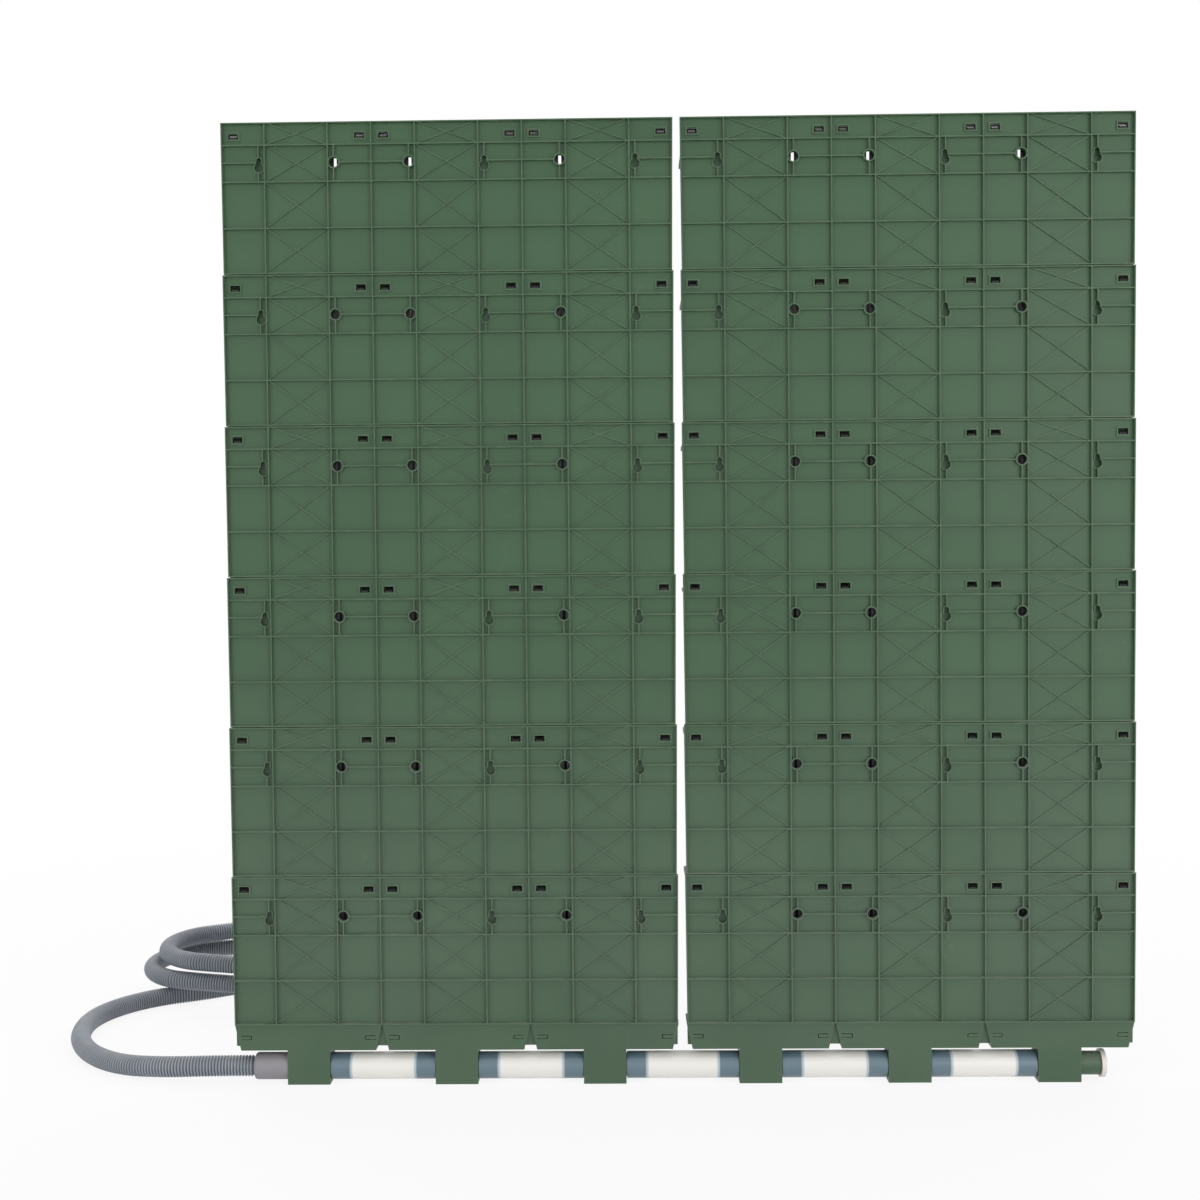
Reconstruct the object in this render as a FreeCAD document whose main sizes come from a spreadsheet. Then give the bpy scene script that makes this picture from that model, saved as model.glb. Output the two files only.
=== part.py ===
import FreeCAD, Part
import math
import os
import re

from FreeCAD import Placement, Rotation, Vector

# Self-watering wall planter, in millimetres. X runs to the right seen from the wall side,
# Y runs from the wall towards the pots and Z runs up. The wall is the plane y = 0, and the
# origin lies midway between the two columns at the screw seats of the top row's keyholes.

COLUMNS = ("left", "right")
ROWS = 6
BAYS = (-1, 0, 1)
SIDES = (-1, 1)

SIZES = {
    # Grid of bays
    "bay_width": 150,
    "row_pitch": 151,
    "column_gap": 7,
    # Back panel
    "plate_thick": 2.5,
    "rib_depth": 4,
    "rib_width": 1.2,
    "side_draft": 1.5,
    "panel_gap": 0.8,
    "lip_gap": 0.4,
    "lip_length": 22,
    "brace_gap": 6,
    "brace_depth": 1.6,
    "brace_width": 0.9,
    "upper_rib_drop": 22.5,
    "port_rib_drop": 40,
    "middle_rib_drop": 59,
    "lower_rib_drop": 105,
    "port_bore": 10,
    "port_rim": 1.2,
    "slot_edge": 12,
    "slot_width": 10,
    "slot_height": 6,
    "slot_drop": 13,
    "slot_rim": 1.4,
    "slot_rim_depth": 1.5,
    "keyhole_head": 9,
    "keyhole_neck": 5,
    "keyhole_head_drop": 44.5,
    "keyhole_seat_drop": 37.5,
    "keyhole_room": 2.4,
    "keyhole_wall": 1.2,
    # Pot
    "pot_gap": 1.1,
    "pot_wall": 2.2,
    "pot_top_drop": 16,
    "pot_height": 110,
    "pot_side_gap": 5,
    "pot_side_draft": 14,
    "pot_mouth_depth": 119.5,
    "pot_floor_depth": 49.5,
    "pot_rim_height": 4,
    "pot_rim_reach": 2,
    "hook_flange_height": 7,
    "hook_width": 7,
    "hook_thick": 1.6,
    "hook_slope": 25,
    "hook_reach": 1.4,
    "fit_clearance": 0.3,
    "vent_width": 3,
    "vent_height": 28,
    "vent_drop": 30,
    "overflow_width": 14,
    "overflow_height": 3,
    "overflow_lift": 22,
    "grate_slot_setback": 26,
    "grate_thick": 2,
    "grate_lift": 28,
    "grate_slot_width": 3,
    "grate_slot_length": 34,
    "grate_slot_pitch": 15,
    "wick_offset": 38,
    "wick_width": 14,
    "wick_thick": 4,
    "wick_rise": 25,
    # Collector
    "collector_wall": 2.5,
    "collector_gap": 1,
    "skirt_height": 26,
    "skirt_draft": 6,
    "trough_depth": 36,
    "trough_front_draft": 4,
    "sump_width": 43,
    "sump_depth": 28,
    "collector_height": 61,
    "stub_drop": 45.5,
    "stub_setback": 14,
    "stub_outer": 23.5,
    "stub_bore": 18.5,
    "stub_length": 21,
    "latch_width": 11,
    "latch_height": 4.6,
    "latch_slit": 0.9,
    "latch_nose": 3,
    "latch_reach": 1.6,
    # Link pipes and end plug
    "pipe_gap": 0.6,
    "pipe_outer": 27,
    "plug_flange": 28,
    "plug_flange_thick": 4.5,
    "plug_spigot": 14,
    "plug_wall": 1.6,
    # Drain hose
    "cuff_outer": 27,
    "cuff_length": 35,
    "cuff_socket": 22,
    "cuff_round": 3,
    "hose_outer": 21,
    "hose_bore": 17,
    "hose_rib_depth": 0.8,
    "hose_level_run": 42.7,
    "coil_radius": 86,
    "coil_climb": 22,
    "coil_lead": 25,
    "coil_first_reach": 281,
    "coil_second_reach": 262,
    "coil_end_angle": 25,
    "coil_tail": 45,
}
HOSE_RIBS = 190
HOSE_FLAT_STEPS = 4
ARC_SHARE = 0.45
# Points of the hose on the floor, from its exit at the cuff: along the wall, away from it, and up
HOSE_LAY = (
    (-92.7, 2, 3),
    (-146.7, 19, 0),
    (-193.7, 60, 0),
    (-226.7, 127, 0),
    (-231.7, 204, 0),
    (-194.7, 271, 0),
    (-126.7, 306, 0),
    (-61.7, 361, 0),
    (-0.7, 420, 0),
    (77.3, 437.5, 0),
    (136.6, 437.5, 0),
)

doc = FreeCAD.newDocument("wall_planter")
sheet = doc.addObject("Spreadsheet::Sheet", "Sizes")
for row_number, (alias, number) in enumerate(SIZES.items(), start=1):
    sheet.set(f"A{row_number}", alias)
    sheet.set(f"B{row_number}", str(number))
    sheet.setAlias(f"B{row_number}", alias)
doc.recompute()

ALIAS = re.compile(r"\b(" + "|".join(SIZES) + r")\b")


def size(alias):
    """Value of one cell of the sheet."""
    return float(sheet.get(alias))


def bind(item, **formulas):
    """Bind properties of an object to formulas of the sheet's aliases."""
    for path, formula in formulas.items():
        item.setExpression(path.replace("_", "."), ALIAS.sub(r"Sizes.\1", str(formula)))


def place(item, x=0, y=0, z=0):
    """Bind the position of an object."""
    bind(item, Placement_Base_x=x, Placement_Base_y=y, Placement_Base_z=z)
    return item


def block(name, x, y, z):
    """Box between pairs of formulas along each axis."""
    item = doc.addObject("Part::Box", name)
    bind(
        item,
        Length=f"({x[1]}) - ({x[0]})",
        Width=f"({y[1]}) - ({y[0]})",
        Height=f"({z[1]}) - ({z[0]})",
    )
    return place(item, x[0], y[0], z[0])


def rod(name, radius, length, axis, x=0, y=0, z=0):
    """Cylinder that starts at a point and runs along an axis."""
    item = doc.addObject("Part::Cylinder", name)
    item.Placement = Placement(Vector(), Rotation(Vector(0, 0, 1), axis))
    bind(item, Radius=radius, Height=length)
    return place(item, x, y, z)


def taper(name, z, bottom_half, top_half, back, bottom_front, top_front):
    """Upright box with a level back whose other sides lean outwards."""
    item = doc.addObject("Part::Wedge", name)
    item.Placement = Placement(Vector(), Rotation(Vector(1, 0, 0), 90))
    # The wedge stands on its Y axis, and its Z axis points towards the wall.
    bind(
        item,
        Ymin=z[0], Ymax=z[1],
        Xmin=f"-({bottom_half})", Xmax=bottom_half,
        X2min=f"-({top_half})", X2max=top_half,
        Zmin=f"-({bottom_front})", Zmax=f"-({back})",
        Z2min=f"-({top_front})", Z2max=f"-({back})",
    )
    return item


def fuse(name, pieces):
    """Union of several solids."""
    item = doc.addObject("Part::MultiFuse", name)
    item.Shapes = pieces
    return item


def cut(name, base, tool):
    """One solid less another."""
    item = doc.addObject("Part::Cut", name)
    item.Base = base
    item.Tool = tool
    return item


def common(name, base, tool):
    """Space that two solids share."""
    item = doc.addObject("Part::Common", name)
    item.Base = base
    item.Tool = tool
    return item


def gather(name, pieces, x=0, y=0, z=0):
    """Sub-part made of one or more solids, set in its place."""
    item = doc.addObject("Part::Compound", name)
    item.Links = pieces
    item.Label = name
    return place(item, x, y, z)


PLATE_BACK = "rib_depth"
PLATE_FRONT = "(rib_depth + plate_thick)"
LIP_BACK = "(rib_depth + plate_thick + lip_gap)"
LIP_FRONT = "(rib_depth + 2 * plate_thick + lip_gap)"
POT_BACK = f"({LIP_FRONT} + pot_gap)"
PANEL_HALF = "(1.5 * bay_width)"
PORT_OFFSET = "(bay_width / 4)"
BRACE_OFFSET = f"({PORT_OFFSET} - brace_gap)"
SLOT_OFFSET = "(bay_width / 2 - slot_edge)"
WEB_BOTTOM = "(row_pitch - panel_gap)"


def bay_x(bay):
    """Middle of a bay within its panel."""
    return f"({bay} * bay_width)"


def rib(name, x, z):
    """Full-depth rib on the wall side of the plate."""
    return block(name, x, (0, f"{PLATE_BACK} + plate_thick / 2"), z)


def upright(name, x, z):
    """Upright rib centred on x."""
    return rib(name, (f"{x} - rib_width / 2", f"{x} + rib_width / 2"), z)


def level(name, x, drop):
    """Level rib centred on a drop below the top edge."""
    return rib(name, x, (f"-({drop}) - rib_width / 2", f"-({drop}) + rib_width / 2"))


def brace(name, bay, top, bottom, slant):
    """Thin low rib across one cell of a braced bay."""
    item = doc.addObject("Part::Box", name)
    span = f"(2 * {BRACE_OFFSET})"
    drop = f"(({bottom}) - ({top}))"
    # Any angle sets the axis, and the formula below then sets the angle.
    item.Placement = Placement(Vector(), Rotation(Vector(0, 1, 0), 1))
    bind(
        item,
        Length=f"sqrt({span} ^ 2 + {drop} ^ 2)",
        Width="brace_depth + plate_thick / 2",
        Height="brace_width",
        Placement_Rotation_Angle=f"{slant} * atan({drop} / {span})",
    )
    start = top if slant > 0 else bottom
    return place(item, f"{bay_x(bay)} - {BRACE_OFFSET}", "rib_depth - brace_depth", f"-({start})")


def bay_ribs(bay):
    """Uprights, port ribs and braces of one bay."""
    tag = f"bay{bay + 2}"
    whole = (f"-({WEB_BOTTOM})", 0)
    pieces = []
    for side in SIDES:
        name = f"{tag}_{'left' if side < 0 else 'right'}"
        port = f"({bay_x(bay)} + {side} * {PORT_OFFSET})"
        edge = f"({bay_x(bay)} + {side} * bay_width / 2)"
        span = (edge, port) if side < 0 else (port, edge)
        pieces.append(upright(f"{name}_upright", f"({bay_x(bay)} + {side} * {BRACE_OFFSET})", whole))
        pieces.append(upright(f"{name}_stub", port, ("-middle_rib_drop", "-upper_rib_drop")))
        pieces.append(level(f"{name}_port_rib", span, "port_rib_drop"))
    drops = ["0", "upper_rib_drop", "middle_rib_drop", "lower_rib_drop", f"({WEB_BOTTOM} - rib_width)"]
    for cell, (top, bottom) in enumerate(zip(drops, drops[1:])):
        for slant in SIDES:
            pieces.append(brace(f"{tag}_brace{cell}{'a' if slant < 0 else 'b'}", bay, top, bottom, slant))
    return pieces


def slot_box(name, bay, side, depth, drop, margin):
    """Block for a hook slot, grown by a margin."""
    middle = f"({bay_x(bay)} + {side} * {SLOT_OFFSET})"
    return block(
        name,
        (f"{middle} - slot_width / 2 - {margin}", f"{middle} + slot_width / 2 + {margin}"),
        depth,
        (f"-({drop}) - slot_height / 2 - {margin}", f"-({drop}) + slot_height / 2 + {margin}"),
    )


def keyhole(name, x, depth, margin):
    """Keyhole outline, wide end down, as three overlapping solids."""
    start, end = depth
    run = f"({end}) - ({start})"
    along = Vector(0, 1, 0)
    head = rod(f"{name}_head", f"keyhole_head / 2 + {margin}", run, along, x, start, "-keyhole_head_drop")
    seat = rod(f"{name}_seat", f"keyhole_neck / 2 + {margin}", run, along, x, start, "-keyhole_seat_drop")
    neck = block(
        f"{name}_neck",
        (f"{x} - keyhole_neck / 2 - {margin}", f"{x} + keyhole_neck / 2 + {margin}"),
        depth,
        ("-keyhole_head_drop", "-keyhole_seat_drop"),
    )
    return [head, seat, neck]


def panel_outline(name, depth, inset):
    """Slightly tapered outline of a panel as a solid slab."""
    item = doc.addObject("Part::Wedge", name)
    item.Placement = Placement(Vector(), Rotation(Vector(1, 0, 0), 90))
    foot = "(row_pitch + lip_length)"
    bottom_half = f"({PANEL_HALF} - side_draft - {inset})"
    top_half = f"({PANEL_HALF} - {inset})"
    bind(
        item,
        Ymin=f"-({foot})", Ymax=f"-({inset})",
        Xmin=f"-({bottom_half})", Xmax=bottom_half,
        X2min=f"-({top_half})", X2max=top_half,
        Zmin=f"-({depth[1]})", Zmax=f"-({depth[0]})",
        Z2min=f"-({depth[1]})", Z2max=f"-({depth[0]})",
    )
    return item


def make_panel():
    """Back panel of three bays, with its top edge at z = 0."""
    across = (f"-{PANEL_HALF}", PANEL_HALF)
    plate = block("plate", across, (PLATE_BACK, PLATE_FRONT), (f"-({WEB_BOTTOM})", 0))
    web = block("web", across, (0, LIP_FRONT), (f"-({WEB_BOTTOM})", f"-({WEB_BOTTOM}) + rib_width"))
    lip = block(
        "lip", across, (LIP_BACK, LIP_FRONT),
        ("-(row_pitch + lip_length)", f"-({WEB_BOTTOM}) + rib_width"),
    )
    pieces = [plate, web, lip]
    for drop in ("upper_rib_drop", "middle_rib_drop", "lower_rib_drop"):
        pieces.append(level(f"level_{drop}", across, drop))
    for side in SIDES:
        boundary = f"({side} * bay_width / 2)"
        pieces.append(upright(f"boundary_{side + 1}", boundary, (f"-({WEB_BOTTOM})", 0)))
    tools = []
    rim_depth = ("rib_depth - slot_rim_depth", f"{PLATE_BACK} + plate_thick / 2")
    housing = ("rib_depth - slot_rim_depth", f"{PLATE_FRONT} + keyhole_room + keyhole_wall")
    cavity = ("-rib_depth", f"{PLATE_FRONT} + keyhole_room")
    for bay in BAYS:
        pieces += bay_ribs(bay)
        tag = f"bay{bay + 2}"
        # The first bay has its keyhole on the left, the others on the right.
        keyhole_side = -1 if bay == BAYS[0] else 1
        port_x = f"({bay_x(bay)} - {keyhole_side} * {PORT_OFFSET})"
        key_x = f"({bay_x(bay)} + {keyhole_side} * {PORT_OFFSET})"
        port = (port_x, 0, "-port_rib_drop")
        along = Vector(0, 1, 0)
        pieces.append(rod(f"{tag}_port_rim", "port_bore / 2 + port_rim", PLATE_FRONT, along, *port))
        tools.append(rod(f"{tag}_port", "port_bore / 2", f"2 * {PLATE_FRONT}", along, *port))
        pieces += keyhole(f"{tag}_key_housing", key_x, housing, "keyhole_wall")
        tools += keyhole(f"{tag}_key", key_x, cavity, "0")
        for side in SIDES:
            end = f"{tag}_{'left' if side < 0 else 'right'}"
            pieces.append(slot_box(f"{end}_slot_rim", bay, side, rim_depth, "slot_drop", "slot_rim"))
            tools.append(slot_box(f"{end}_slot", bay, side, ("-rib_depth", PLATE_FRONT), "slot_drop", "0"))
            lip_depth = (PLATE_FRONT, f"{LIP_FRONT} + plate_thick")
            lip_drop = "row_pitch + slot_drop"
            tools.append(slot_box(f"{end}_lip_slot", bay, side, lip_depth, lip_drop, "0"))
    full_depth = ("-rib_depth", f"{LIP_FRONT} + plate_thick")
    outline = panel_outline("panel_outline", full_depth, "0")
    body = common("panel_trimmed", fuse("panel_solid", pieces), outline)
    rim_run = (0, f"{PLATE_BACK} + plate_thick / 2")
    frame = cut(
        "panel_frame",
        panel_outline("frame_outer", rim_run, "0"),
        panel_outline("frame_inner", ("-rib_depth", f"2 * {PLATE_FRONT}"), "rib_width"),
    )
    stop = block("frame_stop", across, (0, PLATE_FRONT), (f"-({WEB_BOTTOM})", 0))
    rimmed = fuse("panel_rimmed", [body, common("panel_rim", frame, stop)])
    return cut("panel", rimmed, fuse("panel_tools", tools))


def make_pot():
    """Pot with its hooks, and the grate and wick inside it, below a row's top edge."""
    top = "(-pot_top_drop)"
    floor = "(-pot_top_drop - pot_height)"
    mouth_half = "(bay_width / 2 - pot_side_gap)"
    floor_half = f"({mouth_half} - pot_side_draft)"
    mouth_front = f"({POT_BACK} + pot_mouth_depth)"
    floor_front = f"({POT_BACK} + pot_floor_depth)"

    def inner(name, margin):
        """Inside of the pot, drawn in by a margin."""
        return taper(
            name, (f"{floor} + pot_wall", top),
            f"{floor_half} - pot_wall - {margin}", f"{mouth_half} - pot_wall - {margin}",
            f"{POT_BACK} + pot_wall + {margin}",
            f"{floor_front} - pot_wall - {margin}", f"{mouth_front} - pot_wall - {margin}",
        )

    shell = taper("pot_shell", (floor, top), floor_half, mouth_half, POT_BACK, floor_front, mouth_front)
    rim = block(
        "pot_rim",
        (f"-{mouth_half} - pot_rim_reach", f"{mouth_half} + pot_rim_reach"),
        (POT_BACK, f"{mouth_front} + pot_rim_reach"),
        (f"{top} - pot_rim_height", top),
    )
    flange = block(
        "pot_flange",
        (f"-{mouth_half}", mouth_half),
        (POT_BACK, f"{POT_BACK} + pot_wall"),
        (f"{top} - pot_rim_height", f"{top} + hook_flange_height"),
    )
    overflow = block(
        "overflow",
        ("-overflow_width / 2", "overflow_width / 2"),
        (f"{POT_BACK} - pot_wall", f"{POT_BACK} + 2 * pot_wall"),
        (f"{floor} + overflow_lift", f"{floor} + overflow_lift + overflow_height"),
    )
    vents = []
    for side in SIDES:
        middle = f"({side} * {PORT_OFFSET})"
        vents.append(block(
            f"vent_{side + 1}",
            (f"{middle} - vent_width / 2", f"{middle} + vent_width / 2"),
            (f"{POT_BACK} - pot_wall", f"{mouth_front} + pot_rim_reach"),
            ("-vent_drop - vent_height", "-vent_drop"),
        ))
    hooks = [hook_tongue(side) for side in SIDES]
    hollow = cut("pot_hollow", fuse("pot_walls", [shell, rim]), inner("pot_inside", "0"))
    standing = fuse("pot_whole", [hollow, flange] + hooks)
    pot = cut("pot", standing, fuse("pot_holes", [overflow] + vents))

    grate_floor = f"({floor} + grate_lift)"
    slot_middle = f"({POT_BACK} + grate_slot_setback)"
    slab = block(
        "grate_slab",
        (f"-{mouth_half}", mouth_half),
        (POT_BACK, mouth_front),
        (grate_floor, f"{grate_floor} + grate_thick"),
    )
    blank = common("grate_blank", slab, inner("grate_room", "fit_clearance"))
    through = (f"{grate_floor} - grate_thick", f"{grate_floor} + 2 * grate_thick")
    slot_y = (f"{slot_middle} - grate_slot_length / 2", f"{slot_middle} + grate_slot_length / 2")
    openings = []
    for step in (-1.5, -0.5, 0.5, 1.5):
        middle = f"({step} * grate_slot_pitch)"
        across = (f"{middle} - grate_slot_width / 2", f"{middle} + grate_slot_width / 2")
        openings.append(block(f"grate_slot_{int(step * 2 + 3)}", across, slot_y, through))
    wick_half = "(wick_width / 2)"
    wick_x = (f"wick_offset - {wick_half}", f"wick_offset + {wick_half}")
    # The wick stands against the back wall, in a notch of the grate's back edge.
    wick_back = f"({POT_BACK} + pot_wall + fit_clearance)"
    wick_y = (wick_back, f"{wick_back} + wick_thick")
    openings.append(block(
        "wick_passage",
        (f"{wick_x[0]} - fit_clearance", f"{wick_x[1]} + fit_clearance"),
        (POT_BACK, f"{wick_y[1]} + fit_clearance"),
        through,
    ))
    grate = cut("grate", blank, fuse("grate_openings", openings))
    wick = block(
        "wick", wick_x, wick_y,
        (f"{floor} + pot_wall + fit_clearance", f"{grate_floor} + grate_thick + wick_rise"),
    )
    return [pot, grate, wick]


def hook_tongue(side):
    """Sloped tongue that passes down through the slots of a lip and a plate."""
    item = doc.addObject("Part::Box", f"hook_{side + 1}")
    # Any angle sets the axis, and the formula below then sets the angle.
    item.Placement = Placement(Vector(), Rotation(Vector(1, 0, 0), 1))
    tip = "(rib_depth - hook_reach)"
    root = f"({POT_BACK} + pot_wall / 2)"
    bind(
        item,
        Length="hook_width",
        Width=f"({root} - {tip}) / cos(hook_slope)",
        Height="hook_thick",
        Placement_Rotation_Angle="hook_slope",
    )
    slot_floor = "(-slot_drop - slot_height / 2 + fit_clearance)"
    return place(
        item,
        f"{side} * {SLOT_OFFSET} - hook_width / 2",
        tip,
        slot_floor,
    )


def make_collector():
    """Collector trough, sump and stubs, with its top edge at z = 0."""
    half = "((bay_width - collector_gap) / 2)"
    foot_half = f"({half} - skirt_draft)"
    back = PLATE_BACK
    front = f"({back} + trough_depth)"
    foot_front = f"({front} - trough_front_draft)"
    wall = "collector_wall"
    trough = taper("trough", ("-skirt_height", 0), foot_half, half, back, foot_front, front)
    trough_room = taper(
        "trough_room", (f"-skirt_height + {wall}", 0),
        f"{foot_half} - {wall}", f"{half} - {wall}",
        f"{back} + {wall}", f"{foot_front} - {wall}", f"{front} - {wall}",
    )
    sump = block(
        "sump", ("-sump_width / 2", "sump_width / 2"),
        (back, f"{back} + sump_depth"), ("-collector_height", f"-skirt_height + {wall}"),
    )
    sump_room = block(
        "sump_room", (f"-sump_width / 2 + {wall}", f"sump_width / 2 - {wall}"),
        (f"{back} + {wall}", f"{back} + sump_depth - {wall}"),
        (f"-collector_height + {wall}", "-skirt_height / 2"),
    )
    reach = "(sump_width + 2 * stub_length)"
    along = Vector(1, 0, 0)
    axis = (f"-{reach} / 2", f"{back} + stub_setback", "-stub_drop")
    stub = rod("stub", "stub_outer / 2", reach, along, *axis)
    stub_bore = rod("stub_bore", "stub_bore / 2", reach, along, *axis)
    lip_room = block(
        "lip_room", (f"-{half}", half),
        (f"{back} + {wall}", f"{LIP_FRONT} + lip_gap"), ("-lip_length - lip_gap", 0),
    )
    slits = []
    noses = []
    for side in SIDES:
        slits += latch_slits(side, back)
        inner_edge = f"({SLOT_OFFSET} - latch_width / 2 + latch_slit)"
        nose = (inner_edge, f"{inner_edge} + latch_nose")
        across = nose if side > 0 else (f"-({nose[1]})", f"-({nose[0]})")
        noses.append(block(
            f"latch_nose_{side + 1}", across,
            (f"{back} + {wall} / 2", f"{LIP_BACK} + latch_reach"),
            ("-slot_drop - latch_nose / 2", "-slot_drop + latch_nose / 2"),
        ))
    body = fuse("collector_solid", [trough, sump, stub])
    rooms = fuse("collector_rooms", [trough_room, sump_room, stub_bore, lip_room])
    hollow = cut("collector_hollow", body, rooms)
    latched = fuse("collector_latched", [hollow] + noses)
    return cut("collector", latched, fuse("collector_slits", slits))


def latch_slits(side, back):
    """Three slits round a springy latch, which stays rooted at its outer end."""
    depth = (f"{back} - collector_wall", f"{back} + collector_wall + plate_thick")
    low = "(-slot_drop - latch_height / 2)"
    high = "(-slot_drop + latch_height / 2)"
    near = f"({SLOT_OFFSET} - latch_width / 2)"
    far = f"({SLOT_OFFSET} + latch_width / 2)"

    def mirrored(name, x, z):
        """Slit on one side of the collector."""
        across = x if side > 0 else (f"-({x[1]})", f"-({x[0]})")
        return block(f"{name}_{side + 1}", across, depth, z)

    return [
        mirrored("slit_low", (near, far), (low, f"{low} + latch_slit")),
        mirrored("slit_high", (near, far), (f"{high} - latch_slit", high)),
        mirrored("slit_end", (near, f"{near} + latch_slit"), (low, high)),
    ]


COLLECTOR_TOP = f"(keyhole_seat_drop - {ROWS} * row_pitch)"
STUB_Y = f"({PLATE_BACK} + stub_setback)"
STUB_Z = f"({COLLECTOR_TOP} - stub_drop)"
STUB_END = "(bay_width * 2.5 + column_gap / 2 + sump_width / 2 + stub_length)"


def column_x(column):
    """Middle of a column of panels."""
    side = -1 if column == COLUMNS[0] else 1
    return f"({side} * (1.5 * bay_width + column_gap / 2))"


def bay_positions():
    """Middles of the six bays of a row, from left to right."""
    return [f"({column_x(column)} + {bay_x(bay)})" for column in COLUMNS for bay in BAYS]


def make_link_pipes():
    """Five clear pipes that join neighbouring collectors."""
    middles = bay_positions()
    pipes = []
    along = Vector(1, 0, 0)
    for number, (near, far) in enumerate(zip(middles, middles[1:]), start=1):
        start = f"({near} + sump_width / 2 + pipe_gap)"
        length = f"({far} - {near} - sump_width - 2 * pipe_gap)"
        outer = rod(f"pipe_outer_{number}", "pipe_outer / 2", length, along, start, STUB_Y, STUB_Z)
        bore_radius = "stub_outer / 2 + fit_clearance"
        bore = rod(f"pipe_bore_{number}", bore_radius, length, along, start, STUB_Y, STUB_Z)
        pipes.append(cut(f"pipe_{number}", outer, bore))
    return pipes


def make_end_plug():
    """Hollow plug in the open stub at the right."""
    along = Vector(1, 0, 0)
    face = f"({STUB_END} + fit_clearance)"
    spigot_radius = "(stub_bore / 2 - fit_clearance)"
    flange = rod("plug_head", "plug_flange / 2", "plug_flange_thick", along, face, STUB_Y, STUB_Z)
    inside = f"({face} - plug_spigot)"
    spigot_length = "plug_spigot + plug_flange_thick / 2"
    spigot = rod("spigot", spigot_radius, spigot_length, along, inside, STUB_Y, STUB_Z)
    room = rod("plug_room", f"{spigot_radius} - plug_wall", "plug_spigot", along, inside, STUB_Y, STUB_Z)
    return cut("plug", fuse("plug_solid", [flange, spigot]), room)


def make_cuff():
    """Smooth cuff along +X: a socket at its start, the hose's face at its rounded end."""
    along = Vector(1, 0, 0)
    outer = rod("cuff_outer_wall", "cuff_outer / 2", "cuff_length", along)
    doc.recompute()
    end_face = max(outer.Shape.Edges, key=lambda edge: edge.CenterOfMass.x)
    edge_number = [edge.isSame(end_face) for edge in outer.Shape.Edges].index(True) + 1
    rounded = doc.addObject("Part::Fillet", "cuff_rounded")
    rounded.Base = outer
    rounded.Edges = [(edge_number, size("cuff_round"), size("cuff_round"))]
    socket = rod("cuff_socket_room", "stub_outer / 2 + fit_clearance", "cuff_socket", along)
    bore = rod("cuff_bore", "hose_bore / 2", "cuff_length", along)
    return cut("cuff", rounded, fuse("cuff_rooms", [socket, bore]))


def hose_route():
    """Points of the hose's free run, from its cuff to the start of the coil."""
    exit_x = -(2.5 * size("bay_width") + size("column_gap") / 2 + size("sump_width") / 2)
    exit_x -= size("fit_clearance") + size("cuff_length")
    stub_y = size("rib_depth") + size("stub_setback")
    stub_z = collector_top() - size("stub_drop")
    rest_z = floor_z() + size("hose_outer") / 2
    level = [Vector(exit_x, stub_y, stub_z), Vector(exit_x - size("hose_level_run"), stub_y, stub_z)]
    return level + [Vector(exit_x + along, stub_y + out, rest_z + up) for along, out, up in HOSE_LAY]


def collector_top():
    """Height of the collectors' top edges."""
    return size("keyhole_seat_drop") - ROWS * size("row_pitch")


def floor_z():
    """Height of the floor, at the foot of the collectors."""
    return collector_top() - size("collector_height")


def rounded_path(points):
    """Straight runs joined by tangent arcs, as edges, with the arcs' radii."""
    edges = []
    radii = []
    start = points[0]
    for before, corner, after in zip(points, points[1:], points[2:]):
        back = before - corner
        ahead = after - corner
        reach = ARC_SHARE * min(back.Length, ahead.Length)
        half_turn = (math.pi - back.getAngle(ahead)) / 2
        radius = reach / math.tan(half_turn)
        unit_back = Vector(back).normalize()
        unit_ahead = Vector(ahead).normalize()
        enter = corner + unit_back * reach
        leave = corner + unit_ahead * reach
        inward = (unit_back + unit_ahead).normalize()
        middle = corner + inward * (radius / math.cos(half_turn) - radius)
        edges.append(Part.LineSegment(start, enter).toShape())
        edges.append(Part.Arc(enter, middle, leave).toShape())
        radii.append(radius)
        start = leave
    edges.append(Part.LineSegment(start, points[-1]).toShape())
    return edges, radii


def sweep(edges, diameter):
    """Round tube along tangent edges."""
    path = Part.Wire(edges)
    first = edges[0]
    start = first.FirstParameter
    ring = Part.Circle(first.valueAt(start), first.tangentAt(start), diameter / 2)
    return path.makePipeShell([Part.Wire(ring.toShape())], True, False)


def along_edges(edges, distance):
    """Point and direction at a distance along a chain of edges."""
    for edge in edges:
        if distance <= edge.Length or edge is edges[-1]:
            parameter = edge.getParameterByLength(min(distance, edge.Length))
            return edge.valueAt(parameter), edge.tangentAt(parameter)
        distance -= edge.Length


def ribbed_tube(edges, outer, depth, straight_end, rib_count):
    """Ribbed solid along edges: a ruled loft through four circles for each rib."""
    total = sum(edge.Length for edge in edges)
    pitch = (total - 2 * straight_end) / rib_count
    crest = outer / 2
    valley = crest - depth
    stations = [(0, crest), (straight_end - pitch / HOSE_FLAT_STEPS, crest)]
    steps = ((0, valley), (1, valley), (2, crest), (3, crest))
    for number in range(rib_count):
        for step, radius in steps:
            stations.append((straight_end + pitch * (number + step / HOSE_FLAT_STEPS), radius))
    stations.append((total, crest))
    sections = []
    up = Vector(0, 0, 1)
    for distance, radius in stations:
        point, heading = along_edges(edges, distance)
        circle = Part.Circle()
        circle.Radius = radius
        ring = circle.toShape()
        # The circle's own X axis stays level along the hose, so that the loft doesn't twist.
        side = heading.cross(up).normalize()
        ring.Placement = Placement(point, Rotation(side, Vector(), heading, "ZXY"))
        sections.append(Part.Wire(ring))
    return Part.makeLoft(sections, True, True)


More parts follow.
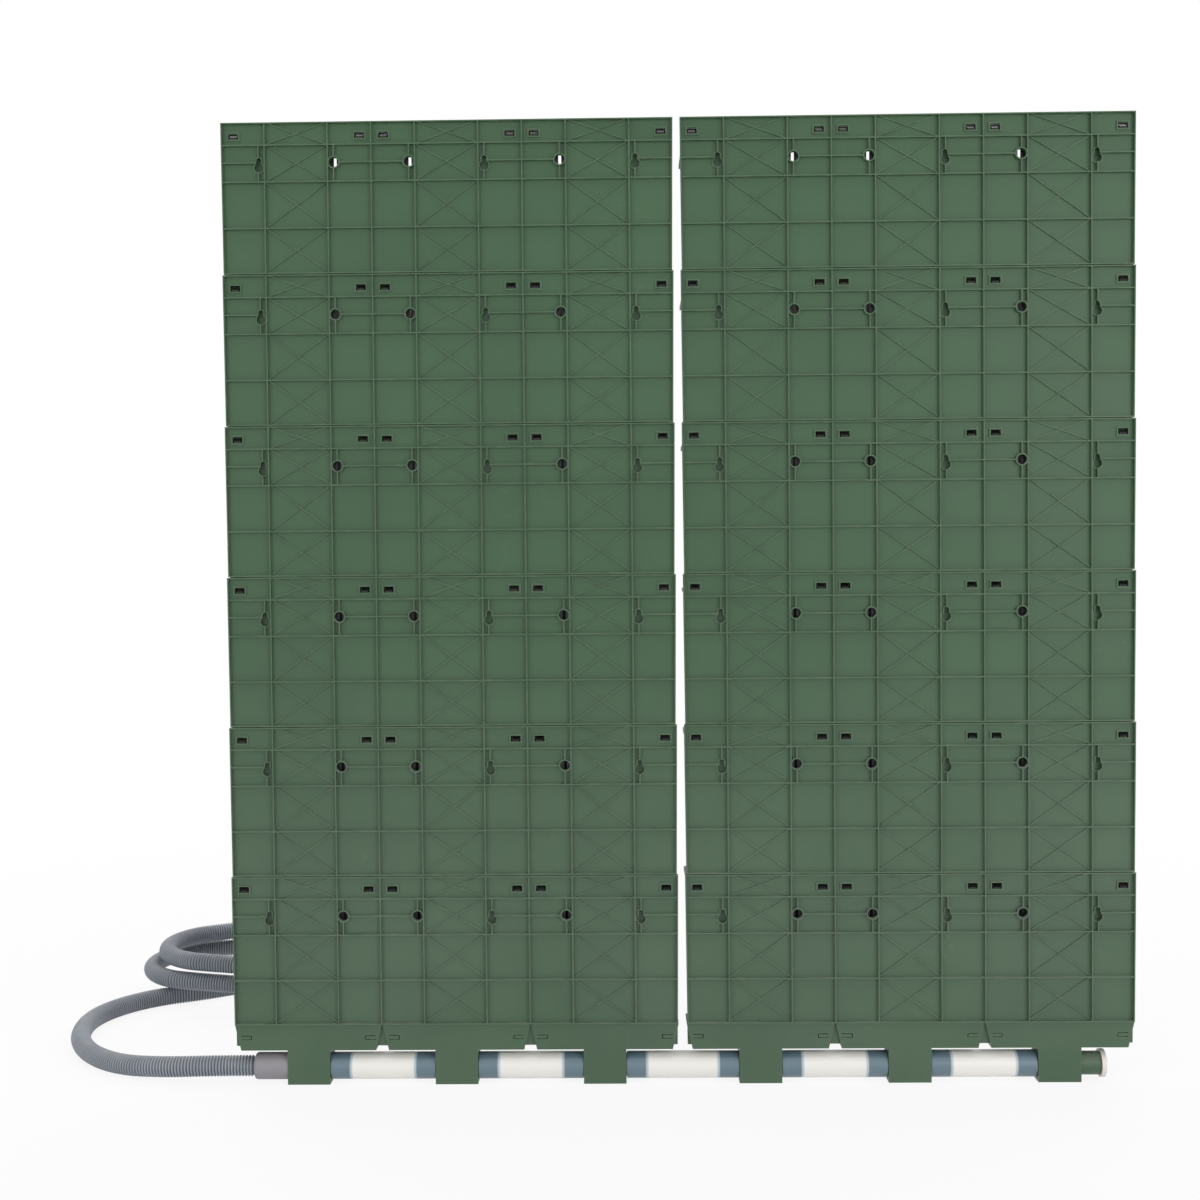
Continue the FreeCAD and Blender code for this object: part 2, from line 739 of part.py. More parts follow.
def climb_edges(start, heading, reach, climb):
    """Two arcs in an upright plane that climb smoothly along a level heading."""
    middle = start + heading * (reach / 2) + Vector(0, 0, climb / 2)
    end = start + heading * reach + Vector(0, 0, climb)
    low = start + heading * (reach / 4)
    radius = (reach ** 2 / 4 + climb ** 2 / 4) / climb
    quarter = radius - math.sqrt(radius ** 2 - (reach / 4) ** 2)
    lift = Vector(0, 0, quarter)
    high = end - heading * (reach / 4)
    return [Part.Arc(start, low + lift, middle).toShape(), Part.Arc(middle, high - lift, end).toShape()]


def bend_edges(start, heading, radius, angle):
    """Level arc to the right of a heading, in pieces of a quarter turn or less."""
    right = Vector(heading.y, -heading.x, 0)
    centre = start + right * radius
    pieces = math.ceil(angle / 90)
    edges = []
    turn = math.radians(angle / pieces)

    def at(swept):
        """Point of the arc after a swept angle."""
        return centre - right * (radius * math.cos(swept)) + heading * (radius * math.sin(swept))

    for number in range(pieces):
        begin = number * turn
        edges.append(Part.Arc(at(begin), at(begin + turn / 2), at(begin + turn)).toShape())
    return edges


def coil_path(start):
    """Loops of the coil: level bends, with the climbs along the front runs."""
    radius = size("coil_radius")
    climb = size("coil_climb")
    right = Vector(1, 0, 0)
    left = Vector(-1, 0, 0)
    lead = start + right * size("coil_lead")
    edges = [Part.LineSegment(start, lead).toShape()]
    point = lead
    first = size("coil_first_reach")
    last_bend = 180 - size("coil_end_angle")
    for reach, bend, closing in ((first, 180, first), (size("coil_second_reach"), last_bend, 0)):
        edges += bend_edges(point, right, radius, 180)
        point = point - Vector(0, 2 * radius, 0)
        edges += climb_edges(point, left, reach, climb)
        point = point + left * reach + Vector(0, 0, climb)
        edges += bend_edges(point, left, radius, bend)
        point = edges[-1].valueAt(edges[-1].LastParameter)
        if closing:
            edges.append(Part.LineSegment(point, point + right * closing).toShape())
            point = point + right * closing
    heading = edges[-1].tangentAt(edges[-1].LastParameter)
    end = point + heading * size("coil_tail")
    edges.append(Part.LineSegment(point, end).toShape())
    return edges, end, heading


def least_gap(edges, diameter):
    """Least gap between turns of a tube, on points along its middle line."""
    total = sum(edge.Length for edge in edges)
    spacing = diameter / 4
    count = int(total / spacing)
    points = [along_edges(edges, spacing * number)[0] for number in range(count)]
    apart = int(4 * diameter / spacing)
    least = min(
        points[first].distanceToPoint(points[second])
        for first in range(count)
        for second in range(first + apart, count)
    )
    return least - diameter


def soft_part(name, shape):
    """Sub-part whose shape is made point by point."""
    item = doc.addObject("Part::Feature", name)
    item.Shape = shape
    item.Label = name
    item.Placement = Placement()
    return item


def make_hose():
    """Ribbed run, coil and end cuff of the drain hose."""
    outer = size("hose_outer")
    bore = size("hose_bore")
    route = hose_route()
    run_edges, radii = rounded_path(route)
    print("hose run arc radii:", [round(radius, 1) for radius in radii])
    ribbed = ribbed_tube(run_edges, outer, size("hose_rib_depth"), outer, HOSE_RIBS)
    run_bore = sweep(run_edges, bore)
    run = ribbed.cut(run_bore)
    run_length = sum(edge.Length for edge in run_edges)
    print("hose run length:", round(run_length, 1))
    report_volume("hose run bore", run_bore, bore, run_length)
    coil_edges, end, heading = coil_path(route[-1])
    coil_length = sum(edge.Length for edge in coil_edges)
    solid = sweep(coil_edges, outer)
    report_volume("hose coil", solid, outer, coil_length)
    print("hose coil length:", round(coil_length, 1))
    print("hose coil least gap:", round(least_gap(coil_edges, outer), 2))
    coil = solid.cut(sweep(coil_edges, bore))
    return soft_part("hose_run", run), soft_part("hose_coil", coil), end, heading


def report_volume(name, shape, diameter, length):
    """Print a tube's volume beside its section times its length."""
    expected = math.pi * diameter ** 2 / 4 * length
    print(name, "volume:", round(shape.Volume), "section times length:", round(expected))


def build():
    """Make every sub-part in its place."""
    parts = []
    panel = make_panel()
    pot = make_pot()
    collector = make_collector()
    for column in COLUMNS:
        for row in range(ROWS):
            top = f"keyhole_seat_drop - {row} * row_pitch"
            parts.append(gather(f"panel_{column}_{row + 1}", [panel], column_x(column), 0, top))
    for row in range(ROWS):
        top = f"keyhole_seat_drop - {row} * row_pitch"
        for number, middle in enumerate(bay_positions(), start=1):
            parts.append(gather(f"pot_r{row + 1}c{number}", pot, middle, 0, top))
    for number, middle in enumerate(bay_positions(), start=1):
        parts.append(gather(f"collector_{number}", [collector], middle, 0, COLLECTOR_TOP))
    parts.append(gather("link_pipes", make_link_pipes()))
    parts.append(gather("end_plug", [make_end_plug()]))
    cuff = make_cuff()
    run, coil, end, heading = make_hose()
    inlet = gather("hose_cuff", [cuff])
    inlet.Placement = Placement(Vector(), Rotation(Vector(0, 0, 1), 180))
    place(inlet, f"-({STUB_END} - stub_length) - fit_clearance", STUB_Y, STUB_Z)
    outlet = gather("hose_end_cuff", [cuff])
    turned = Rotation(Vector(1, 0, 0), heading * -1)
    outlet.Placement = Placement(Vector(), turned)
    mouth = end + heading * size("cuff_length")
    place(outlet, mouth.x, mouth.y, mouth.z)
    return parts + [inlet, run, coil, outlet]


def check(parts):
    """Stop if any object failed or any sub-part has no valid solid."""
    for item in doc.Objects:
        if "Invalid" in item.State or "Error" in item.State:
            raise RuntimeError(f"{item.Label} failed: {item.State}")
    for item in parts:
        if item.Shape.isNull() or not item.Shape.isValid() or not item.Shape.Solids:
            raise RuntimeError(f"{item.Label} has no valid solid")


parts = build()
doc.recompute()
check(parts)
os.makedirs("parts", exist_ok=True)
for item in parts:
    item.Shape.exportStep(f"parts/{item.Label}.step")
print("sub-parts:", len(parts), "solids:", sum(len(item.Shape.Solids) for item in parts))
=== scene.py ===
"""Scene of a self-watering vertical wall planter, seen from its wall side.

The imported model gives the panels, pots, collectors, pipes and cuffs. This script dresses them in
moulded plastic and felt, lays the ribbed drain hose, and sets up the studio round them.
"""

import logging
import math
from dataclasses import dataclass
from enum import Enum
from typing import Callable, Dict, List, Optional, Sequence, Tuple, Union

import bpy
import numpy as np
from mathutils import Matrix, Vector


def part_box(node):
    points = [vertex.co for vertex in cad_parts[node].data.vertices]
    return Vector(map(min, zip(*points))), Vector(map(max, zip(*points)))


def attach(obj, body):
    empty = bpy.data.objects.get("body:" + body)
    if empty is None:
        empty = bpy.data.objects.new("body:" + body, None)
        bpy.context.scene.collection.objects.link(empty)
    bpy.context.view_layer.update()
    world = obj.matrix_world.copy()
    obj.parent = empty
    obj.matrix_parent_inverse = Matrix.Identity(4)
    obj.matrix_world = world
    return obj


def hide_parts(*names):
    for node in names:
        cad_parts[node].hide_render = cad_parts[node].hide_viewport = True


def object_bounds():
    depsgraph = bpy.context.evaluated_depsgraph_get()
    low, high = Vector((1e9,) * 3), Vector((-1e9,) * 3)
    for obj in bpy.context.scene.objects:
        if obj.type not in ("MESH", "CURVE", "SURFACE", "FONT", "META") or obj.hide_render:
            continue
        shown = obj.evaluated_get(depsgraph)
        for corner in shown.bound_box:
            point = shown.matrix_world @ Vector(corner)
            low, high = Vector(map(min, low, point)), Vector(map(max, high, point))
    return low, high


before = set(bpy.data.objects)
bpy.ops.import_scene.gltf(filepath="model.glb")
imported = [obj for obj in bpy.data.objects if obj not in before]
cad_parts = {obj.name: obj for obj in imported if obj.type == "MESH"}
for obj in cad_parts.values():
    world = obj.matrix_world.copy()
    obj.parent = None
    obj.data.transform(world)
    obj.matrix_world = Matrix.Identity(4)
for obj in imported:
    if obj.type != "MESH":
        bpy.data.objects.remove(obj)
CAD_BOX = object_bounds()
IMAGE_SIDE = 1200
RIB_HEIGHT = "rib_height"

Colour = Tuple[float, float, float, float]
Point = Tuple[float, float, float]
Band = Tuple[float, float]
Quad = Tuple[int, int, int, int]
SocketKey = Union[int, str]

log = logging.getLogger("wall_planter")


def from_srgb(red: int, green: int, blue: int) -> Colour:
    """Turns a colour in 0 to 255 screen values into linear light.

    Args:
        red: Red value on the screen.
        green: Green value on the screen.
        blue: Blue value on the screen.

    Returns:
        The linear colour, with alpha 1.
    """

    def linear(value: int) -> float:
        """Gives one channel in linear light."""
        share = value / 255
        return share / 12.92 if share <= 0.04045 else ((share + 0.055) / 1.055) ** 2.4

    return (linear(red), linear(green), linear(blue), 1.0)


class Effect(Enum):
    """Surface effects that several finishes share."""

    SKIN = "moulded_skin"
    DUST = "settled_dust"
    # Worn edges, also used as a painted highlight along edges.
    WEAR_AND_HIGHLIGHT = "edge_wear"
    SCUFF = "handling_scuffs"
    # A painted pale sheen, stronger towards the foot.
    PAINTED_SHEEN = "drip_film"


class Sketch:
    """Adds nodes to one node tree and links them."""

    def __init__(self, tree: bpy.types.NodeTree) -> None:
        """Keeps the tree that the nodes go into."""
        self.tree = tree

    def node(
        self,
        kind: str,
        inputs: Optional[Dict[SocketKey, object]] = None,
        **settings: object,
    ) -> bpy.types.Node:
        """Adds a node, sets it and feeds its inputs.

        Args:
            kind: Blender's name of the node type.
            inputs: Values, or sockets to link from, by the input's name or place.
            settings: Properties of the node itself.

        Returns:
            The new node.
        """
        made = self.tree.nodes.new(kind)
        for name, value in settings.items():
            setattr(made, name, value)
        for key, value in (inputs or {}).items():
            if isinstance(value, bpy.types.NodeSocket):
                self.tree.links.new(value, made.inputs[key])
            else:
                made.inputs[key].default_value = value
        return made

    def reckon(self, operation: str, first: object, second: object = 0.0) -> bpy.types.NodeSocket:
        """Combines two values with one arithmetic operation and returns the result."""
        return self.node("ShaderNodeMath", {0: first, 1: second}, operation=operation).outputs[0]

    def remap(
        self,
        value: object,
        band: Tuple[object, object],
        onto: Band = (0.0, 1.0),
    ) -> bpy.types.NodeSocket:
        """Maps a range smoothly onto another.

        Args:
            value: Socket with the value.
            band: Start and end of the range that is read.
            onto: Results at the start and at the end.

        Returns:
            The socket with the mapped value.
        """
        ends = {0: value, 1: band[0], 2: band[1], 3: onto[0], 4: onto[1]}
        return self.node("ShaderNodeMapRange", ends, interpolation_type="SMOOTHSTEP").outputs[0]

    def blend(self, share: object, under: object, over: object) -> bpy.types.NodeSocket:
        """Mixes two colours by a share and returns the result."""
        sides = {0: share, 6: under, 7: over}
        return self.node("ShaderNodeMix", sides, data_type="RGBA").outputs[2]

    def noise(
        self,
        vector: object,
        scale: object,
        detail: float,
        **more: float,
    ) -> bpy.types.NodeSocket:
        """Adds a noise texture.

        Args:
            vector: Coordinates that the noise is read at.
            scale: Scale of the noise.
            detail: How many finer layers it has.
            more: Other inputs of the texture, by name.

        Returns:
            The socket with the noise's value.
        """
        inputs: Dict[SocketKey, object] = {"Vector": vector, "Scale": scale, "Detail": detail}
        inputs.update(more)
        return self.node("ShaderNodeTexNoise", inputs).outputs["Fac"]

    def own_place(self) -> bpy.types.NodeSocket:
        """Returns the piece's own coordinates, in metres."""
        return self.node("ShaderNodeTexCoord").outputs["Object"]


class EffectLibrary:
    """Builds each shared surface effect once, as a node group."""

    GRAIN_DETAIL = 2.0
    CLOUD_DETAIL = 5.0
    CLOUD_ROUGHNESS = 0.6
    CLOUD_BAND = (0.32, 0.68)
    SWAY_SHARE = 0.6
    SWAY_DETAIL = 0.0
    LYING_BAND = (0.2, 0.95)
    PATCH_DETAIL = 4.0
    PATCH_BAND = (0.3, 0.7)
    BEVEL_SAMPLES = 4
    EDGE_BAND = (0.01, 0.22)
    BREAK_SCALE = 60.0
    BREAK_DETAIL = 3.0
    BREAK_BAND = (0.3, 0.65)
    BREAK_STRENGTH = (0.35, 1.0)
    SCUFF_DETAIL = 1.0
    SCUFF_WANDER = 1.4
    SCUFF_MIDDLE = 0.5
    SCUFF_WIDTH = 0.006
    SCUFF_PLACE_SCALE = 9.0
    SCUFF_PLACE_DETAIL = 3.0
    SCUFF_PLACE_BAND = (0.56, 0.64)
    # Noise of the painted pale sheen.
    PAINTED_SHEEN_SCALE = 5.0
    PAINTED_SHEEN_DETAIL = 3.0
    PAINTED_SHEEN_STRENGTH = (0.7, 1.0)

    def __init__(self) -> None:
        """Starts with no group built."""
        self._built: Dict[Effect, bpy.types.NodeTree] = {}

    def group(self, effect: Effect) -> bpy.types.NodeTree:
        """Gives an effect's node group, building it on first use.

        Args:
            effect: The effect wanted.

        Returns:
            The node group.
        """
        if effect not in self._built:
            makers: Dict[Effect, Callable[[Effect], bpy.types.NodeTree]] = {
                Effect.SKIN: self._moulded_skin,
                Effect.DUST: self._settled_dust,
                Effect.WEAR_AND_HIGHLIGHT: self._edge_wear_and_highlight,
                Effect.SCUFF: self._handling_scuffs,
                Effect.PAINTED_SHEEN: self._painted_foot_sheen,
            }
            self._built[effect] = makers[effect](effect)
        return self._built[effect]

    @staticmethod
    def _empty(
        effect: Effect,
        inputs: Sequence[str],
        outputs: Sequence[str],
    ) -> Tuple[Sketch, bpy.types.Node, bpy.types.Node]:
        """Makes a group with float sockets.

        Args:
            effect: Effect that the group is named for.
            inputs: Names of its inputs.
            outputs: Names of its outputs.

        Returns:
            The sketch of the group, its input node and its output node.
        """
        tree = bpy.data.node_groups.new(effect.value, "ShaderNodeTree")
        for name in inputs:
            tree.interface.new_socket(name=name, in_out="INPUT", socket_type="NodeSocketFloat")
        for name in outputs:
            tree.interface.new_socket(name=name, in_out="OUTPUT", socket_type="NodeSocketFloat")
        sketch = Sketch(tree)
        return sketch, sketch.node("NodeGroupInput"), sketch.node("NodeGroupOutput")

    @staticmethod
    def _put_mask(sketch: Sketch, result: bpy.types.Node, *factors: object) -> bpy.types.NodeTree:
        """Multiplies the factors of a mask and puts it out.

        Args:
            sketch: Sketch of the group.
            result: Output node of the group.
            factors: Sockets that are multiplied.

        Returns:
            The node group.
        """
        mask = factors[0]
        for factor in factors[1:]:
            mask = sketch.reckon("MULTIPLY", mask, factor)
        sketch.tree.links.new(mask, result.inputs["Mask"])
        return sketch.tree

    def _moulded_skin(self, effect: Effect) -> bpy.types.NodeTree:
        """Builds the fine grain, the cloudy tone and the slight sway of moulded plastic.

        Args:
            effect: Effect that the group is named for.

        Returns:
            The node group.
        """
        inputs = ["Grain Scale", "Cloud Scale"]
        sketch, given, result = self._empty(effect, inputs, ["Grain", "Cloud", "Sway"])
        place = sketch.own_place()
        cloud_scale = given.outputs["Cloud Scale"]
        sway_scale = sketch.reckon("MULTIPLY", cloud_scale, self.SWAY_SHARE)
        cloud = sketch.noise(place, cloud_scale, self.CLOUD_DETAIL, Roughness=self.CLOUD_ROUGHNESS)
        made = {
            "Grain": sketch.noise(place, given.outputs["Grain Scale"], self.GRAIN_DETAIL),
            "Cloud": sketch.remap(cloud, self.CLOUD_BAND),
            "Sway": sketch.noise(place, sway_scale, self.SWAY_DETAIL),
        }
        for name, value in made.items():
            sketch.tree.links.new(value, result.inputs[name])
        return sketch.tree

    def _settled_dust(self, effect: Effect) -> bpy.types.NodeTree:
        """Builds patchy dust on faces that look up.

        Args:
            effect: Effect that the group is named for.

        Returns:
            The node group.
        """
        sketch, given, result = self._empty(effect, ["Amount", "Patch Scale"], ["Mask"])
        normal = sketch.node("ShaderNodeNewGeometry").outputs["Normal"]
        upward = sketch.node("ShaderNodeSeparateXYZ", {0: normal}).outputs["Z"]
        lying = sketch.remap(upward, self.LYING_BAND)
        speckle = sketch.noise(sketch.own_place(), given.outputs["Patch Scale"], self.PATCH_DETAIL)
        patches = sketch.remap(speckle, self.PATCH_BAND)
        return self._put_mask(sketch, result, lying, patches, given.outputs["Amount"])

    def _edge_wear_and_highlight(self, effect: Effect) -> bpy.types.NodeTree:
        """Builds worn tone and a painted highlight along edges, broken up along their length.

        Args:
            effect: Effect that the group is named for.

        Returns:
            The node group.
        """
        sketch, given, result = self._empty(effect, ["Radius", "Amount"], ["Mask"])
        radius = given.outputs["Radius"]
        rounded = sketch.node("ShaderNodeBevel", {"Radius": radius}, samples=self.BEVEL_SAMPLES)
        normal = sketch.node("ShaderNodeNewGeometry").outputs["Normal"]
        normals = {0: rounded.outputs[0], 1: normal}
        facing = sketch.node("ShaderNodeVectorMath", normals, operation="DOT_PRODUCT")
        turned = sketch.reckon("SUBTRACT", 1.0, facing.outputs["Value"])
        edge = sketch.remap(turned, self.EDGE_BAND)
        gaps = sketch.noise(sketch.own_place(), self.BREAK_SCALE, self.BREAK_DETAIL)
        broken = sketch.remap(gaps, self.BREAK_BAND, self.BREAK_STRENGTH)
        return self._put_mask(sketch, result, edge, broken, given.outputs["Amount"])

    def _handling_scuffs(self, effect: Effect) -> bpy.types.NodeTree:
        """Builds sparse, thin, curved scuff marks.

        Args:
            effect: Effect that the group is named for.

        Returns:
            The node group.
        """
        sketch, given, result = self._empty(effect, ["Scale", "Amount"], ["Mask"])
        place = sketch.own_place()
        scale = given.outputs["Scale"]
        wander = sketch.noise(place, scale, self.SCUFF_DETAIL, Distortion=self.SCUFF_WANDER)
        beside = sketch.reckon("ABSOLUTE", sketch.reckon("SUBTRACT", wander, self.SCUFF_MIDDLE))
        line = sketch.remap(beside, (0.0, self.SCUFF_WIDTH), (1.0, 0.0))
        spread = sketch.noise(place, self.SCUFF_PLACE_SCALE, self.SCUFF_PLACE_DETAIL)
        places = sketch.remap(spread, self.SCUFF_PLACE_BAND)
        return self._put_mask(sketch, result, line, places, given.outputs["Amount"])

    def _painted_foot_sheen(self, effect: Effect) -> bpy.types.NodeTree:
        """Builds a painted pale sheen, stronger towards the foot.

        Args:
            effect: Effect that the group is named for.

        Returns:
            The node group.
        """
        sketch, given, result = self._empty(effect, ["Top", "Foot", "Amount"], ["Mask"])
        place = sketch.own_place()
        height = sketch.node("ShaderNodeSeparateXYZ", {0: place}).outputs["Z"]
        lowness = sketch.remap(height, (given.outputs["Top"], given.outputs["Foot"]))
        spread = sketch.noise(place, self.PAINTED_SHEEN_SCALE, self.PAINTED_SHEEN_DETAIL)
        patches = sketch.remap(spread, self.PATCH_BAND, self.PAINTED_SHEEN_STRENGTH)
        return self._put_mask(sketch, result, lowness, patches, given.outputs["Amount"])


EFFECTS = EffectLibrary()


def place_effect(
    sketch: Sketch,
    effect: Effect,
    values: Dict[SocketKey, object],
) -> bpy.types.bpy_prop_collection:
    """Places a shared effect in a material and returns its outputs.

    Args:
        sketch: Sketch of the material's node tree.
        effect: The effect wanted.
        values: The material's own values for the effect's inputs.

    Returns:
        The effect's outputs, by name.
    """
    return sketch.node("ShaderNodeGroup", values, node_tree=EFFECTS.group(effect)).outputs


def new_material(name: str) -> Tuple[bpy.types.Material, Sketch]:
    """Makes a material with no nodes.

    Args:
        name: Name of the finish.

    Returns:
        The material and the sketch of its node tree.
    """
    material = bpy.data.materials.new(name)
    material.use_nodes = True
    material.node_tree.nodes.clear()
    return material, Sketch(material.node_tree)


def finish_surface(sketch: Sketch, shader: bpy.types.Node) -> None:
    """Links a shader to the material's output."""
    sketch.node("ShaderNodeOutputMaterial", {"Surface": shader.outputs[0]})


@dataclass(frozen=True)
class PlasticFinish:
    """A moulded plastic: two close tones, grain, dust, worn edges with a painted edge highlight,
    scuffs and a painted pale sheen towards the foot.
    """

    name: str
    deep: Colour
    pale: Colour
    dust: Colour
    rubbed_and_highlight: Colour
    gloss: Band = (0.38, 0.5)
    specular: float = 0.5
    grain_scale: float = 1400.0
    grain_depth: float = 0.00012
    grain_strength: float = 0.5
    sway_depth: float = 0.0012
    cloud_scale: float = 7.0
    dust_amount: float = 0.35
    dust_scale: float = 25.0
    dust_roughness: float = 0.3
    # Worn edges, which on the panels also paint a highlight along edges and laps.
    wear_and_highlight_radius: float = 0.0008
    wear_and_highlight_amount: float = 0.22
    scuff_scale: float = 18.0
    scuff_amount: float = 0.08
    # Colour, heights and amount of a painted pale sheen towards the foot.
    painted_sheen: Colour = from_srgb(160, 160, 160)
    painted_sheen_span: Band = (-0.4, -0.8)
    painted_sheen_amount: float = 0.0

    def _tone(
        self,
        sketch: Sketch,
        cloud: bpy.types.NodeSocket,
        dusty: bpy.types.NodeSocket,
    ) -> bpy.types.NodeSocket:
        """Builds the colour, layer over layer.

        Args:
            sketch: Sketch of the material's node tree.
            cloud: Share of the pale tone.
            dusty: Share of dust.

        Returns:
            The socket with the colour.
        """
        wear_and_highlight_values = {"Radius": self.wear_and_highlight_radius, "Amount": self.wear_and_highlight_amount}
        wear_and_highlight = place_effect(sketch, Effect.WEAR_AND_HIGHLIGHT, wear_and_highlight_values)
        scuff_values = {"Scale": self.scuff_scale, "Amount": self.scuff_amount}
        scuff = place_effect(sketch, Effect.SCUFF, scuff_values)
        tone = sketch.blend(cloud, self.deep, self.pale)
        # Edges take the worn colour: real use marks, and on the panels mostly a painted highlight.
        tone = sketch.blend(wear_and_highlight["Mask"], tone, self.rubbed_and_highlight)
        tone = sketch.blend(scuff["Mask"], tone, self.rubbed_and_highlight)
        tone = sketch.blend(dusty, tone, self.dust)
        if self.painted_sheen_amount > 0.0:
            top, foot = self.painted_sheen_span
            painted_sheen_values = {"Top": top, "Foot": foot, "Amount": self.painted_sheen_amount}
            painted_sheen = place_effect(sketch, Effect.PAINTED_SHEEN, painted_sheen_values)
            # Lower down, a painted pale sheen is mixed in.
            tone = sketch.blend(painted_sheen["Mask"], tone, self.painted_sheen)
        return tone

    def material(self) -> bpy.types.Material:
        """Builds the finish.

        Returns:
            The material.
        """
        material, sketch = new_material(self.name)
        skin_values = {"Grain Scale": self.grain_scale, "Cloud Scale": self.cloud_scale}
        skin = place_effect(sketch, Effect.SKIN, skin_values)
        dust_values = {"Amount": self.dust_amount, "Patch Scale": self.dust_scale}
        dusty = place_effect(sketch, Effect.DUST, dust_values)["Mask"]
        smooth = sketch.remap(skin["Cloud"], (0.0, 1.0), self.gloss)
        dulled = sketch.reckon("MULTIPLY", dusty, self.dust_roughness)
        sway = {"Distance": self.sway_depth, "Height": skin["Sway"]}
        bowed = sketch.node("ShaderNodeBump", sway)
        relief = sketch.node(
            "ShaderNodeBump",
            {
                "Strength": self.grain_strength,
                "Distance": self.grain_depth,
                "Height": skin["Grain"],
                "Normal": bowed.outputs[0],
            },
        )
        shader = sketch.node(
            "ShaderNodeBsdfPrincipled",
            {
                "Base Color": self._tone(sketch, skin["Cloud"], dusty),
                "Roughness": sketch.reckon("ADD", smooth, dulled),
                "Normal": relief.outputs[0],
                "Specular IOR Level": self.specular,
            },
        )
        finish_surface(sketch, shader)
        return material


@dataclass(frozen=True)
class MilkyPipeFinish:
    """A milky pipe, painted darker at both ends where the stub sits inside, partly the stub's tone
    and partly painted shade, with a painted highlight line at the stub's mouth.
    """

    name: str = "milky_pipe"
    open_tone: Colour = from_srgb(252, 249, 244)
    stub_tone_and_shade: Colour = from_srgb(108, 130, 142)
    stub_mouth_highlight: Colour = from_srgb(196, 208, 214)
    inner_bay: float = 0.0785
    half_pitch: float = 0.075
    stub_reach: float = 0.0425
    fade: float = 0.0008
    mouth_width: float = 0.0012
    clearness: float = 0.12
    roughness: float = 0.3

    def material(self) -> bpy.types.Material:
        """Builds the finish.

        Returns:
            The material.
        """
        material, sketch = new_material(self.name)
        along = sketch.node("ShaderNodeSeparateXYZ", {0: sketch.own_place()}).outputs["X"]
        from_bay = sketch.reckon("SUBTRACT", sketch.reckon("ABSOLUTE", along), self.inner_bay)
        nearest = sketch.reckon("PINGPONG", sketch.reckon("ABSOLUTE", from_bay), self.half_pitch)
        past_mouth = sketch.reckon("SUBTRACT", nearest, self.stub_reach)
        over = sketch.remap(past_mouth, (-self.fade, self.fade), (1.0, 0.0))
        from_mouth = sketch.reckon("ABSOLUTE", past_mouth)
        mouth_band = (self.mouth_width - self.fade, self.mouth_width + self.fade)
        mouth = sketch.remap(from_mouth, mouth_band, (1.0, 0.0))
        # Over the stub, the stub's tone with painted shade; at its mouth, a painted highlight line.
        tone = sketch.blend(over, self.open_tone, self.stub_tone_and_shade)
        tone = sketch.blend(mouth, tone, self.stub_mouth_highlight)
        shader = sketch.node(
            "ShaderNodeBsdfPrincipled",
            {
                "Base Color": tone,
                "Roughness": self.roughness,
                "Transmission Weight": self.clearness,
            },
        )
        finish_surface(sketch, shader)
        return material


@dataclass(frozen=True)
class FeltFinish:
    """Pressed felt of a wick, darker between its fibres."""

    name: str = "wick_felt"
    fibre: Colour = from_srgb(214, 208, 194)
    shadow: Colour = from_srgb(150, 142, 126)
    fibre_scale: float = 1600.0
    fibre_detail: float = 6.0
    fibre_roughness: float = 0.75
    fibre_twist: float = 2.0
    fibre_band: Band = (0.3, 0.7)
    relief_strength: float = 0.8
    relief_depth: float = 0.0004
    roughness: float = 0.95
    sheen: float = 0.4

    def material(self) -> bpy.types.Material:
        """Builds the finish.

        Returns:
            The material.
        """
        material, sketch = new_material(self.name)
        fibres = sketch.noise(
            sketch.own_place(),
            self.fibre_scale,
            self.fibre_detail,
            Roughness=self.fibre_roughness,
            Distortion=self.fibre_twist,
        )
        tone = sketch.blend(sketch.remap(fibres, self.fibre_band), self.shadow, self.fibre)
        relief = sketch.node(
            "ShaderNodeBump",
            {"Strength": self.relief_strength, "Distance": self.relief_depth, "Height": fibres},
        )
        shader = sketch.node(
            "ShaderNodeBsdfPrincipled",
            {
                "Base Color": tone,
                "Roughness": self.roughness,
                "Sheen Weight": self.sheen,
                "Normal": relief.outputs[0],
            },
        )
        finish_surface(sketch, shader)
        return material


